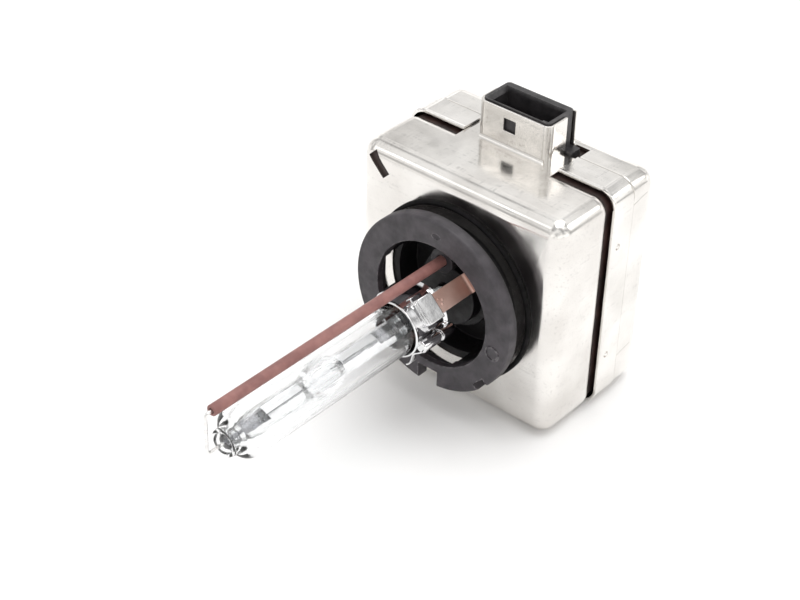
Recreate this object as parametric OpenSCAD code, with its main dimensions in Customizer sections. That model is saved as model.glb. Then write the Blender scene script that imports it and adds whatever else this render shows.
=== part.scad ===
// Gas-discharge headlamp bulb: a quartz burner with a ceramic-sleeved return wire on a black
// plastic base, in one piece with the square metal-clad igniter box and its plug socket.
// X runs to the right, +Y runs back from the base into the igniter box, +Z points up to the socket.
// The origin is on the bulb's axis, where the flange's full-diameter seating land begins.

/* [Base flange] */
// Radius of the flange's seating land
flange_r = 16.5; // [16:0.1:17]
// Radius of the hole through the flange
flange_hole_r = 11.7; // [11:0.1:12]
// Width of the seating land along the axis
land_len = 1.5; // [1.2:0.1:2]
// Distance from the flange's front face to its seating land
face_step = 0.9; // [0.5:0.1:1.2]
// Chamfer on the front edge of the flange
flange_chamfer = 0.3; // [0.1:0.1:0.8]
// Width of the keying notch at the bottom
key_w = 4.2; // [3:0.1:5]
// Groove between the flange and the box, which the lamp's retainer grips
groove_w = 3.4; // [3:0.1:4]

/* [Igniter box] */
// Width of the front shield
box_w = 42.6; // [42:0.1:44]
// Height of the front shield
box_h = 42.6; // [42:0.1:44]
// Length of the box from its front wall to its back wall
box_len = 26.6; // [26:0.1:28]
// Radius of the box's edges
box_edge_r = 3; // [2:0.1:3.5]
// Thickness of the shield sheet
sheet_t = 0.5; // [0.4:0.05:0.6]
// Gap between the front shield and the rear cover
seam_gap = 1.3; // [0.8:0.1:2]

/* [Burner] */
// Distance from the flange's front face to the middle of the arc
light_centre = 27.1; // [26.8:0.1:27.4]
// Outer diameter of the outer glass tube
glass_d = 9.1; // [8.8:0.1:9.3]
// Distance from the flange's front face to the tip of the glass
glass_reach = 48.6; // [48:0.1:50]
// Distance between the electrode tips
arc_gap = 4.2; // [3.9:0.1:4.5]
// Outer diameter of the ceramic sleeve on the return wire
sleeve_d = 1.9; // [1.7:0.1:2.2]
// Height of the ceramic sleeve above the bulb's axis
sleeve_z = 7.6; // [7.4:0.1:8]

/* [Plug socket] */
// Width of the socket over its metal shield
socket_w = 15; // [14:0.1:16]
// Depth of the socket along the bulb's axis
socket_depth = 7.6; // [7.2:0.1:8]
// Height of the socket's rim above the box
socket_h = 7.3; // [7:0.1:8.5]

/* [Hidden] */
$fn = 72;
clear = 0.1;

// Places along the axis, from the flange's front face back
face_y = -face_step;
can_y = land_len + groove_w;
can_back_y = can_y + 12.1;
skirt_y = can_back_y + seam_gap;
step_y = skirt_y + 6.1;
back_y = can_y + box_len;

// The box and its plastic tub
box_z = 0.1;
skirt_out = 0.5;
cap_out = 0.15;
tub_gap = 0.15;
slot_x = -16.9;
slot_z = 17.8;
slot_len = 4.7;
slot_wide = 1.9;
dimple_r = 0.55;
dimple_z = [-11.3, 10.9];
tub_t = 1.2;
tub_w = box_w - 2 * (sheet_t + tub_gap);
tub_h = box_h - 2 * (sheet_t + tub_gap);
tub_y = can_y + sheet_t + clear;
tub_back_y = back_y - box_edge_r - clear;
board_y = 12.6;
board_t = 1.2;
parts_y = board_y + board_t + clear;

// The base behind the flange
neck_r = 13.3;
neck_in_r = 12;
window_w = 8.6;
window_back_y = can_y + 0.3;
small_key_angle = 44.5;
boss_r = 2.3;
cup_back_y = can_y + 6.2;
cup_floor_y = cup_back_y - 1.3;
tower_r = 5.8;
tower_y = 3.4;
stem_r = 1.9;
stem_back_y = 9;

// The burner
arc_y = face_y - light_centre;
tip_y = face_y - glass_reach;
glass_r = glass_d / 2;
glass_in_r = glass_r - 0.9;
stub_r = 2.1;
foil_w = 1.8;
foil_t = 0.06;
foil_near = 12.8;
foil_far = 16.8;
electrode_r = 0.14;
lead_r = 0.3;
fit = 0.05;

// The return wire and its sleeve
wire_r = 0.3;
wire_bend = 0.8;
sleeve_tip_y = tip_y - 2.2;
wire_front_y = sleeve_tip_y - 1.2;
wire_back_y = parts_y;

// The clip around the glass and the lugs that carry it
clip_y = -10.3;
clip_len = 7.4;
clip_t = 0.25;
clip_in_r = glass_r + 0.2;
loop_angles = [130, 325];
loop_w = 3.8;
loop_r = 6.6;
lug_angles = [45, 225];
lug_r = 6.3;
lug_t = 0.4;
lug_w = 3.6;
lug_y = clip_y + 2.2;
lug_back_y = 3.2;
bridge_y = clip_y + 1.8;
bridge_len = 3;

// The socket
socket_y = skirt_y + 0.7;
socket_z = box_z + box_h / 2;
cavity_w = 11.5;
cavity_y = socket_y + 1.2;
cavity_len = 4.7;
cavity_z = socket_z + 0.6;
pin_y = cavity_y + 2;
pin_top_z = socket_z + 2.4;
pin_pitch = 2.7;
pin_w = 0.8;
latch_x = -1.95;
latch_w = 2.5;
latch_h = 2.4;
latch_z = socket_z + 3;
wing_len = 5;

// Igniter parts
core_r = 2.6;
core_len = 32;
transformer_z = -9.5;
transformer_y = 20.3;
bobbin_r = 3.4;
bobbin_flange_r = 6.2;
bobbin_len = 30;
chambers = 4;
gap_tube_r = 3.4;
gap_tube_x = -10.5;
gap_tube_y = 19.5;
gap_tube_z = 11;
choke_r = 1.6;
choke_x = -11.5;
choke_y = 18;
choke_z = 1.8;
resistor_x = 6.5;
resistor_y = 16.5;
resistor_z = 0.6;
capacitor_x = 10.2;
capacitor_z = 8.5;

// ---- Shapes used by more than one piece ----

// A cylinder or cone along Y
module rod_y(r, y0, y1, r2 = undef)
    translate([0, y0, 0]) rotate([-90, 0, 0])
        cylinder(r1 = r, r2 = is_undef(r2) ? r : r2, h = y1 - y0);

// A tube along Y
module tube_y(r_out, r_in, y0, y1)
    difference() {
        rod_y(r_out, y0, y1);
        rod_y(r_in, y0 - 1, y1 + 1);
    }

// A rod along X, centred on x
module rod_x(r, len, x, y, z)
    translate([x - len / 2, y, z]) rotate([0, 90, 0]) cylinder(r = r, h = len);

// A tube along X, centred on x
module tube_x(r_out, r_in, len, x, y, z)
    difference() {
        rod_x(r_out, len, x, y, z);
        rod_x(r_in, len + 2, x, y, z);
    }

// A block between y0 and y1, centred on x and z
module block_y(w, h, y0, y1, x = 0, z = 0)
    translate([x - w / 2, y0, z - h / 2]) cube([w, y1 - y0, h]);

// A square prism along Y with rounded long edges
module pillar_y(w, h, r, y0, y1)
    translate([0, y0, box_z]) rotate([-90, 0, 0])
        linear_extrude(y1 - y0)
            offset(r, $fn = 32) square([w - 2 * r, h - 2 * r], center = true);

// A square prism whose end edges are rounded too, at its front (side -1) or its back (side 1)
module drawn_box(w, h, r, y0, y1, side) {
    round_y = side < 0 ? y0 + r : y1 - r;
    flat_y = side < 0 ? y1 : y0;
    hull()
        for (sx = [-1, 1], sz = [-1, 1])
            translate([sx * (w / 2 - r), 0, box_z + sz * (h / 2 - r)]) {
                translate([0, round_y, 0]) rotate([90, 0, 0]) sphere(r, $fn = 32);
                translate([0, flat_y, 0]) rotate([-90 * side, 0, 0]) cylinder(r = r, h = 0.01, $fn = 32);
            }
}

// ---- Base ----

// The black base: flange, windowed neck, cup, and the tower that takes the burner's stem
module base_body() color([0.13, 0.12, 0.13])
    difference() {
        union() {
            difference() {
                union() {
                    rod_y(flange_r - flange_chamfer, face_y, face_y + flange_chamfer, flange_r);
                    rod_y(flange_r, face_y + flange_chamfer, land_len);
                    rod_y(neck_r, land_len, cup_back_y);
                }
                rod_y(flange_hole_r, face_y - 1, land_len);
                rod_y(neck_in_r, land_len - clear, cup_floor_y);
                neck_windows();
                key_notches();
            }
            rod_y(tower_r + 1.3, tower_y + 2.4, cup_floor_y);
            rod_y(tower_r, tower_y, cup_floor_y);
            translate([0, 0, sleeve_z]) rod_y(boss_r, tower_y - 1.8, cup_floor_y);
        }
        rod_y(stem_r + clear, 0, cup_back_y + 1);
        translate([0, 0, sleeve_z]) rod_y(sleeve_d / 2 + clear, 0, cup_back_y + 1);
    }

// Windows in the neck, one on the left and one below, each with a flat relief in the flange's hole
module neck_windows()
    for (a = [0, -90]) rotate([0, a, 0]) {
        block_y(neck_r, window_w, land_len, window_back_y, -neck_r);
        block_y(neck_in_r, window_w, 0, land_len + clear, -neck_in_r / 2);
    }

// The key notch at the bottom and the smaller one to its right
module key_notches() {
    block_y(key_w, 6, face_y - 1, land_len + 1, 0, -flange_r + 0.3);
    rotate([0, small_key_angle, 0]) block_y(3, 2.8, face_y - 1, land_len + 1, flange_r + 0.1);
}

// The rubber ring that seals the base to the lamp's housing
module seal_ring() color([0.08, 0.08, 0.08])
    tube_y(16.7, 15.9, can_y - 0.7, can_y);

// ---- Igniter box ----

// The front shield: drawn sheet with a hole for the neck, a corner slot and the socket's tongue
module front_shield() color([0.82, 0.80, 0.77]) {
    difference() {
        drawn_box(box_w, box_h, box_edge_r, can_y, can_back_y, -1);
        drawn_box(box_w - 2 * sheet_t, box_h - 2 * sheet_t, box_edge_r - sheet_t,
            can_y + sheet_t, can_back_y + 1, -1);
        rod_y(neck_r + clear, can_y - 1, can_y + 2);
        translate([slot_x, 0, slot_z]) rotate([0, 45, 0]) block_y(slot_len, slot_wide, can_y - 1, can_y + 2);
    }
    socket_tongue();
}

// The tongue that rises from the front shield's top, with wings along the socket's sides
module socket_tongue()
    difference() {
        union() {
            translate([-socket_w / 2 - 0.5, can_back_y - 2, socket_z - sheet_t])
                cube([socket_w + 1, socket_y - can_back_y + 2 + sheet_t, sheet_t]);
            translate([-socket_w / 2, socket_y, socket_z - sheet_t])
                cube([socket_w, sheet_t, socket_h + sheet_t - 0.3]);
            for (s = [-1, 1]) translate([s * (socket_w - sheet_t) / 2 - sheet_t / 2, socket_y,
                socket_z - sheet_t]) cube([sheet_t, wing_len, socket_h + sheet_t - 0.3]);
        }
        translate([latch_x, socket_y - 2, latch_z]) cube([latch_w, 4, latch_h]);
    }

// The rear cover: a skirt that meets the front shield, a cap behind it and a tongue at the socket
module rear_cover() color([0.84, 0.82, 0.79]) {
    difference() {
        union() {
            pillar_y(box_w + 2 * skirt_out, box_h + 2 * skirt_out, box_edge_r, skirt_y, step_y);
            drawn_box(box_w + 2 * cap_out, box_h + 2 * cap_out, box_edge_r, step_y - 1, back_y, 1);
        }
        drawn_box(box_w + 2 * cap_out - 2 * sheet_t, box_h + 2 * cap_out - 2 * sheet_t,
            box_edge_r - sheet_t, skirt_y - 1, back_y - sheet_t, 1);
        translate([-socket_w / 2 - 1.9, skirt_y - 1, socket_z - 2])
            cube([socket_w + 3.8, socket_depth + 3, 4]);
        cover_dimples();
    }
    translate([-socket_w / 2 + 0.3, socket_y + socket_depth + clear, socket_z - 0.35])
        cube([socket_w - 0.6, 0.4, socket_h]);
    translate([-socket_w / 2 + 0.3, socket_y + socket_depth + clear, socket_z - 0.35])
        cube([socket_w - 0.6, 2.4, 0.4]);
}

// Punched dimples on the skirt's sides
module cover_dimples()
    for (s = [-1, 1], z = dimple_z)
        translate([s * (box_w / 2 + skirt_out + 0.1), skirt_y + 2.3, z]) sphere(dimple_r, $fn = 24);

// The igniter's plastic tub, seen in the gap between the shield and the cover
module igniter_housing() color([0.14, 0.13, 0.13])
    difference() {
        drawn_box(tub_w, tub_h, box_edge_r - sheet_t - tub_gap, tub_y, tub_back_y, -1);
        pillar_y(tub_w - 2 * tub_t, tub_h - 2 * tub_t, 1.2, tub_y + tub_t, tub_back_y + 1);
        rod_y(neck_r + clear, tub_y - 1, tub_y + tub_t + 1);
        translate([-5.5, pin_y - 1, socket_z - 5]) cube([11, 2.6, 8]);
    }

// The lid that closes the tub from behind
module housing_lid() color([0.17, 0.16, 0.16])
    pillar_y(tub_w - 2 * (tub_t + clear), tub_h - 2 * (tub_t + clear), 1.1, tub_back_y - 1.5, tub_back_y);

// ---- Plug socket ----

// The black socket housing, with a key rib in the front right corner of its cavity
module socket_housing() color([0.11, 0.10, 0.10]) {
    foot_z = socket_z - sheet_t - tub_gap;
    difference() {
        union() {
            translate([-socket_w / 2 + sheet_t + clear, socket_y + sheet_t + clear, foot_z])
                cube([socket_w - 2 * (sheet_t + clear), socket_depth - sheet_t - clear,
                    socket_z + socket_h - foot_z]);
            translate([-socket_w / 2 - 1.2, socket_y + 5.1, foot_z])
                cube([socket_w + 2.4, socket_depth - 5.1, 1.2]);
        }
        translate([-cavity_w / 2, cavity_y, cavity_z]) cube([cavity_w, cavity_len, socket_h]);
        translate([-4.8, pin_y - 0.4, foot_z - 1]) cube([9.6, 1.4, 4]);
    }
    translate([cavity_w / 2 - 1, cavity_y, cavity_z - 0.2]) cube([1, 0.8, socket_h - 0.6]);
}

// The socket's four flat contact pins
module socket_pins() color([0.80, 0.68, 0.40])
    for (i = [0:3])
        translate([pin_pitch * (i - 1.5) - pin_w / 2, pin_y, socket_z - 4.6])
            cube([pin_w, 0.6, pin_top_z - socket_z + 4.6]);

// ---- Burner ----

// The outer glass tube, necked down to a stub at its tip and to the stem at its back
module outer_bulb() color([0.85, 0.90, 0.95, 0.35])
    rotate([-90, 0, 0]) rotate_extrude() polygon(concat(
        [[stub_r - 0.7, tip_y], [stub_r, tip_y], [stub_r, tip_y + 1.6]],
        [for (a = [0:15:90]) [3.1 + (glass_r - 3.1) * sin(a), tip_y + 2.4 + 2 * (1 - cos(a))]],
        [[glass_r, -3.4], [glass_r - 0.9, -1.6], [3, -0.9], [3, 0.6], [stem_r + fit, 0.6]],
        [[stem_r + fit, -1.2], [glass_in_r - 0.6, -2.2], [glass_in_r, -3.8]],
        [[glass_in_r, tip_y + 4.8], [2.6, tip_y + 3.2], [stub_r - 0.7, tip_y + 2.2]]));

// The quartz arc tube: a small bulb between two stems that close over the foils
module arc_tube() color([0.88, 0.92, 0.96, 0.5])
    difference() {
        rotate([-90, 0, 0]) rotate_extrude() polygon(concat(
            [[0, tip_y + 0.4], [1.35, tip_y + 0.4], [1.35, arc_y - 18.6], [stem_r, arc_y - 17.4]],
            [for (a = [-50:10:50]) [3 * cos(a), arc_y + 5.2 * sin(a)]],
            [[stem_r, stem_back_y], [0, stem_back_y]]));
        rotate([-90, 0, 0]) rotate_extrude()
            polygon([for (a = [-90:15:90]) [1.35 * cos(a), arc_y + 3.9 * sin(a)]]);
        stem_hollow(arc_y - foil_far, arc_y - foil_near, arc_y - 3, tip_y);
        stem_hollow(arc_y + foil_near, arc_y + foil_far, arc_y + 3, stem_back_y + 1);
    }

// The hollow in a stem: a slit for the foil and holes for the electrode and the lead
module stem_hollow(foil_0, foil_1, cavity_end, open_end) {
    inner = cavity_end < foil_0 ? foil_0 : foil_1;
    outer = cavity_end < foil_0 ? foil_1 : foil_0;
    block_y(foil_w + 2 * fit, foil_t + 2 * fit, foil_0, foil_1);
    rod_y(electrode_r + fit, min(inner, cavity_end), max(inner, cavity_end));
    rod_y(lead_r + fit, min(outer, open_end), max(outer, open_end));
}

module front_electrode() color([0.45, 0.45, 0.47])
    rod_y(electrode_r, arc_y - foil_near, arc_y - arc_gap / 2);

module rear_electrode() color([0.45, 0.45, 0.47])
    rod_y(electrode_r, arc_y + arc_gap / 2, arc_y + foil_near);

module front_foil() color([0.55, 0.55, 0.58])
    block_y(foil_w, foil_t, arc_y - foil_far, arc_y - foil_near);

module rear_foil() color([0.55, 0.55, 0.58])
    block_y(foil_w, foil_t, arc_y + foil_near, arc_y + foil_far);

module front_lead() color([0.62, 0.62, 0.64])
    rod_y(lead_r, tip_y, arc_y - foil_far);

module rear_lead() color([0.62, 0.62, 0.64])
    rod_y(lead_r, arc_y + foil_far, board_y);

// The return wire: out of the sleeve, down in front of the glass and back to the front lead
module return_wire() color([0.78, 0.76, 0.72]) {
    translate([0, 0, sleeve_z]) rod_y(wire_r, wire_front_y + wire_bend, wire_back_y);
    translate([0, wire_front_y, wire_bend]) cylinder(r = wire_r, h = sleeve_z - 2 * wire_bend);
    rod_y(wire_r, wire_front_y + wire_bend, tip_y);
    translate([0, wire_front_y + wire_bend, sleeve_z - wire_bend]) rotate([90, 0, -90]) wire_elbow();
    translate([0, wire_front_y + wire_bend, wire_bend]) rotate([-90, 0, -90]) wire_elbow();
}

module wire_elbow()
    rotate_extrude(angle = 90, $fn = 32) translate([wire_bend, 0]) circle(wire_r, $fn = 24);

// The ceramic sleeve that insulates the return wire
module ceramic_sleeve() color([0.55, 0.36, 0.33])
    translate([0, 0, sleeve_z]) tube_y(sleeve_d / 2, wire_r + clear, sleeve_tip_y, cup_back_y - clear);

// ---- Clip and lugs ----

// The spring sleeve around the glass, with raised loops and a bridge over each lug
module burner_clip() color([0.85, 0.85, 0.86]) {
    translate([0, clip_y + clip_len, 0]) rotate([90, 0, 0])
        linear_extrude(clip_len) difference() {
            clip_outline(clip_t);
            clip_outline(0);
        }
    for (a = lug_angles) rotate([0, -a, 0]) lug_bridge();
}

module clip_outline(grow)
    offset(grow) {
        circle(clip_in_r, $fn = 64);
        for (a = loop_angles) rotate(a) translate([loop_r - 1.5, 0]) square([3, loop_w], center = true);
    }

// The plate and its two legs that hold a lug's front end
module lug_bridge() {
    plate_r = lug_r + lug_t + clear;
    half_w = lug_w / 2 + clear;
    translate([plate_r, bridge_y, -half_w - 0.4]) cube([0.4, bridge_len, 2 * half_w + 0.8]);
    for (s = [-1, 1]) translate([clip_in_r - 0.3, bridge_y, s * (half_w + 0.2) - 0.2])
        cube([plate_r - clip_in_r + 0.5, bridge_len, 0.4]);
}

// The support lugs that carry the clip, bent out to the base's neck at the back
module support_lugs() color([0.62, 0.42, 0.36])
    for (a = lug_angles) rotate([0, -a, 0]) {
        translate([lug_r, lug_y, -lug_w / 2]) cube([lug_t, lug_back_y - lug_y, lug_w]);
        translate([lug_r, lug_back_y - lug_t, -lug_w / 2]) cube([neck_in_r - lug_r - 0.2, lug_t, lug_w]);
    }

// ---- Igniter parts inside the tub ----

// The terminal that grips the burner's rear lead
module hv_terminal() color([0.72, 0.72, 0.70]) {
    tube_y(1, lead_r + fit, cup_back_y + clear, parts_y + 0.6);
    block_y(2.4, 4.2, parts_y + 0.6, parts_y + 1, 0, -1.1);
}

// The terminal that grips the return wire
module return_terminal() color([0.72, 0.72, 0.70])
    translate([0, 0, sleeve_z]) {
        tube_y(0.9, wire_r + fit, cup_back_y + clear, parts_y);
        block_y(2.4, 3, parts_y, parts_y + 0.4);
    }

// The board that joins the igniter's parts, with holes for the two terminals
module circuit_board() color([0.10, 0.30, 0.18])
    difference() {
        pillar_y(36, 36, 1, board_y, board_y + board_t);
        rod_y(2, board_y - 1, parts_y);
        translate([0, 0, sleeve_z]) rod_y(0.9 + clear, board_y - 1, parts_y);
    }

module transformer_core() color([0.22, 0.22, 0.24])
    rod_x(core_r, core_len, 0, transformer_y, transformer_z);

// The bobbin: a tube with a flange at each end and between its chambers
module transformer_bobbin() color([0.75, 0.72, 0.62]) {
    tube_x(bobbin_r, core_r + clear, bobbin_len, 0, transformer_y, transformer_z);
    for (i = [0:chambers])
        tube_x(bobbin_flange_r, bobbin_r - 0.2, 1, (bobbin_len - 1) * (i / chambers - 0.5),
            transformer_y, transformer_z);
}

// Windings fill each chamber of the bobbin between these radii
module chamber_windings(r_in, r_out, len)
    for (i = [0:chambers - 1])
        tube_x(r_out, r_in, len, (bobbin_len - 1) * ((i + 0.5) / chambers - 0.5),
            transformer_y, transformer_z);

module secondary_winding() color([0.62, 0.30, 0.14])
    chamber_windings(bobbin_r + fit, 5, 6);

module primary_winding() color([0.80, 0.46, 0.22])
    chamber_windings(5 + fit, 5.5, 4);

// The spark gap: a ceramic tube closed by two metal caps
module spark_gap_tube() color([0.90, 0.89, 0.86])
    tube_x(gap_tube_r, gap_tube_r - 1, 4.6, gap_tube_x, gap_tube_y, gap_tube_z);

module spark_gap_caps() color([0.75, 0.75, 0.74])
    for (s = [-1, 1]) {
        rod_x(gap_tube_r, 0.9, gap_tube_x + s * 2.75, gap_tube_y, gap_tube_z);
        rod_x(0.5, 2, gap_tube_x + s * 4.2, gap_tube_y, gap_tube_z);
    }

module pulse_capacitor() color([0.72, 0.60, 0.20])
    block_y(16, 11, parts_y, parts_y + 10, capacitor_x, capacitor_z);

module choke_core() color([0.22, 0.22, 0.24])
    rod_x(choke_r, 13, choke_x, choke_y, choke_z);

module choke_winding() color([0.70, 0.36, 0.16])
    tube_x(choke_r + 1.1, choke_r + fit, 10, choke_x, choke_y, choke_z);

module bleed_resistor() color([0.35, 0.50, 0.60]) {
    rod_x(1, 6, resistor_x, resistor_y, resistor_z);
    rod_x(0.3, 9, resistor_x, resistor_y, resistor_z);
}

base_body();
seal_ring();
front_shield();
rear_cover();
igniter_housing();
housing_lid();
socket_housing();
socket_pins();
outer_bulb();
arc_tube();
front_electrode();
rear_electrode();
front_foil();
rear_foil();
front_lead();
rear_lead();
return_wire();
ceramic_sleeve();
burner_clip();
support_lugs();
hv_terminal();
return_terminal();
circuit_board();
transformer_core();
transformer_bobbin();
primary_winding();
secondary_winding();
spark_gap_tube();
spark_gap_caps();
pulse_capacitor();
choke_core();
choke_winding();
bleed_resistor();
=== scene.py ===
# %% [markdown]
# # A gas-discharge headlamp bulb with its igniter
# The object is a lamp burner on a black plastic base, joined to a square igniter box of bright sheet
# metal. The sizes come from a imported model, the frame. Every visible piece is made here again, with
# rounded edges, folded sheet and turned glass, and lies exactly where the frame says.

# %% Load the frame
import math

import bmesh
import bpy
from mathutils import Matrix, Vector


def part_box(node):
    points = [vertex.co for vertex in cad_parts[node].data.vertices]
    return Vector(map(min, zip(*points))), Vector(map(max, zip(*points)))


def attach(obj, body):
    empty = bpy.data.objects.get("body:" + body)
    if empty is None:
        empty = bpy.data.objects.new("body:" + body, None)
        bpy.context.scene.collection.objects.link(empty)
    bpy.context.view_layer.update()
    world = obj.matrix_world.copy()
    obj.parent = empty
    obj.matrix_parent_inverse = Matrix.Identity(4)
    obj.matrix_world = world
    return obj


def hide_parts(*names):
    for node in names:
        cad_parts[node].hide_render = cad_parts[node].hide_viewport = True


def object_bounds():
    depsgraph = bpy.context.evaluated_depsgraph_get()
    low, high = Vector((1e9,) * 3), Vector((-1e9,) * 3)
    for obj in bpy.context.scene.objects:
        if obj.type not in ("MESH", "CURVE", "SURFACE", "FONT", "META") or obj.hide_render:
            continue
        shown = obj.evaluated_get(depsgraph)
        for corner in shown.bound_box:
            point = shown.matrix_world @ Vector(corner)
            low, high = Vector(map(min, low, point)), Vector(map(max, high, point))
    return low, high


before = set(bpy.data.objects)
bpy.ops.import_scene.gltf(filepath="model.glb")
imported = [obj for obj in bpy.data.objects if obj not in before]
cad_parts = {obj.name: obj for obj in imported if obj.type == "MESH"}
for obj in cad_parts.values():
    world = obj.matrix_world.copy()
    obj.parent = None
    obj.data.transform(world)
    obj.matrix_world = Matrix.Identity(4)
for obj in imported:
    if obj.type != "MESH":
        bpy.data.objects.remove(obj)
cad_low, cad_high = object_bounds()
MM = 0.001
print("frame:", len(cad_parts), "nodes")


def corners(node_name):
    """Lowest and highest corner of a frame node, in millimetres."""
    low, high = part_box(node_name)
    return low / MM, high / MM


# %% [markdown]
# ## Camera
# The view is from the front, the right and above. A camera is placed by its direction and distance
# from a point on the object, because that is how a person walks round a table. The lens is
# long, so that the square box keeps nearly parallel sides.

# %% Camera
aim = Vector((-10.28, -0.9, -5.77)) * MM
camera_distance = 316.9 * MM
camera_side = math.radians(40.403)
camera_height = math.radians(35.906)
camera_roll = math.radians(1.318)

back = Vector((math.sin(camera_side) * math.cos(camera_height),
               -math.cos(camera_side) * math.cos(camera_height),
               math.sin(camera_height)))
right = (-back).cross(Vector((0, 0, 1))).normalized()
up = right.cross(-back)
rolled_right = math.cos(camera_roll) * right + math.sin(camera_roll) * up
rolled_up = math.cos(camera_roll) * up - math.sin(camera_roll) * right

camera_data = bpy.data.cameras.new("camera")
camera_data.sensor_width = 36
camera_data.lens = 82.956
camera_data.shift_x = 0.0210
camera_data.shift_y = 0.01055
camera_data.clip_start = 0.01
camera = bpy.data.objects.new("camera", camera_data)
turn_matrix = Matrix((rolled_right, rolled_up, back)).transposed()
camera.matrix_world = Matrix.Translation(aim + back * camera_distance) @ turn_matrix.to_4x4()
bpy.context.scene.collection.objects.link(camera)
bpy.context.scene.camera = camera
print("camera at", [round(c, 3) for c in camera.location])

# %% [markdown]
# ## Floor and light
# Bright sheet metal shows the room more than itself, so the room is designed: a white floor, a pale
# surround with darker patches, which give the rounded edges their streaks, two small soft boxes in
# the directions that those edges reflect, and a large one overhead. A soft box is an area light.

# %% Floor and light
scene = bpy.context.scene
scene.view_settings.view_transform = "Standard"
floor_z = cad_low.z


def linked(name, data):
    """A new object in the scene."""
    made = bpy.data.objects.new(name, data)
    scene.collection.objects.link(made)
    return made


def wire(source, target):
    """Joins an output socket to an input socket."""
    target.id_data.links.new(source, target)


def add(tree, kind, operation=None, **numbers):
    """A new shader node, with its operation and the values of its inputs where they are given."""
    node = tree.nodes.new("ShaderNode" + kind)
    if operation:
        node.operation = operation
    for label, number in numbers.items():
        node.inputs[label].default_value = number
    return node


def spread(tree, value, low_from, high_from, low_to, high_to):
    """A Map Range node; each end is a number or a socket."""
    span = add(tree, "MapRange")
    wire(value, span.inputs["Value"])
    ends = (("From Min", low_from), ("From Max", high_from), ("To Min", low_to), ("To Max", high_to))
    for label, end in ends:
        if isinstance(end, bpy.types.NodeSocket):
            wire(end, span.inputs[label])
        else:
            span.inputs[label].default_value = end
    return span.outputs[0]


def new_material(name):
    """A material with its node tree and its shader."""
    material = bpy.data.materials.new(name)
    material.use_nodes = True
    return material, material.node_tree, material.node_tree.nodes["Principled BSDF"]


def make_floor():
    """A wide white sheet under the object."""
    bm = bmesh.new()
    bmesh.ops.create_grid(bm, x_segments=1, y_segments=1, size=4)
    bmesh.ops.translate(bm, vec=(0, 0, floor_z), verts=bm.verts)
    mesh = bpy.data.meshes.new("floor")
    bm.to_mesh(mesh)
    bm.free()
    floor = linked("floor", mesh)
    paper, _, shader = new_material("floor paper")
    shader.inputs["Base Color"].default_value = (0.96, 0.955, 0.95, 1)
    shader.inputs["Roughness"].default_value = 0.9
    mesh.materials.append(paper)


def soft_box(name, direction, distance, size, brightness):
    """An area light of a given brightness that faces the object."""
    light = bpy.data.lights.new(name, "AREA")
    light.size = size
    light.energy = brightness * math.pi * size * size
    lamp = linked(name, light)
    towards = Vector(direction).normalized()
    lamp.location = towards * distance
    lamp.rotation_euler = towards.to_track_quat("Z", "Y").to_euler()


def make_room():
    """The pale surround, brighter near the horizon than overhead, with soft darker patches."""
    world = bpy.data.worlds.new("room")
    world.use_nodes = True
    scene.world = world
    tree = world.node_tree
    background = tree.nodes["Background"]
    place = add(tree, "TexCoord")
    split = add(tree, "SeparateXYZ")
    ramp = add(tree, "ValToRGB")
    ramp.color_ramp.elements[0].color = (1, 0.99, 0.975, 1)
    ramp.color_ramp.elements[1].color = (0.6, 0.6, 0.6, 1)
    patches = add(tree, "TexNoise", Scale=3.4)
    strength = spread(tree, patches.outputs[0], 0.4, 0.56, 0.5, 1.52)
    wire(place.outputs["Generated"], split.inputs[0])
    wire(split.outputs["Z"], ramp.inputs[0])
    wire(ramp.outputs["Color"], background.inputs["Color"])
    wire(place.outputs["Generated"], patches.inputs["Vector"])
    wire(strength, background.inputs["Strength"])


make_floor()
make_room()
soft_box("front left box", (-0.52, -0.58, 0.62), 1.1, 0.2, 1.3)
soft_box("back right box", (0.58, 0.62, 0.52), 0.9, 0.26, 2.0)
soft_box("top box", (0.1, 0.1, 1), 1.2, 1.0, 2.5)

# %% [markdown]
# ## Shared effects for the finishes
# Real surfaces are never one colour. Four effects repeat on nearly every material here, so each is a
# node group that is built once: a mottle that varies a value, a relief that tilts the surface a
# little, a wear mask on the edges, and fine scratches. Each puts out only a value or a normal, and
# the shader stays in the material.


# %% Node group helpers
def start_group(name, inputs, output, output_kind):
    """A new node group with number inputs and one output."""
    tree = bpy.data.node_groups.new(name, "ShaderNodeTree")
    for label, default in inputs:
        socket = tree.interface.new_socket(label, in_out="INPUT", socket_type="NodeSocketFloat")
        socket.default_value = default
    tree.interface.new_socket(output, in_out="OUTPUT", socket_type=output_kind)
    return tree, tree.nodes.new("NodeGroupInput"), tree.nodes.new("NodeGroupOutput")


def noise_in(tree, scale_socket, detail, stretch=None):
    """Noise on object coordinates, stretched along an axis where a stretch is given."""
    spot = add(tree, "TexCoord").outputs["Object"]
    noise = add(tree, "TexNoise", Detail=detail)
    wire(scale_socket, noise.inputs["Scale"])
    if stretch is not None:
        mapping = add(tree, "Mapping", Scale=stretch)
        wire(spot, mapping.inputs["Vector"])
        spot = mapping.outputs[0]
    wire(spot, noise.inputs["Vector"])
    return noise.outputs[0]


# %% Mottle, relief, wear and scratches
def build_mottle():
    """A value that drifts between Low and High over the surface."""
    tree, given, out = start_group("mottle", (("Scale", 200), ("Low", 0), ("High", 1)),
                                   "Value", "NodeSocketFloat")
    noise = noise_in(tree, given.outputs["Scale"], 4)
    value = spread(tree, noise, 0.36, 0.64, given.outputs["Low"], given.outputs["High"])
    wire(value, out.inputs[0])
    return tree


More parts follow.
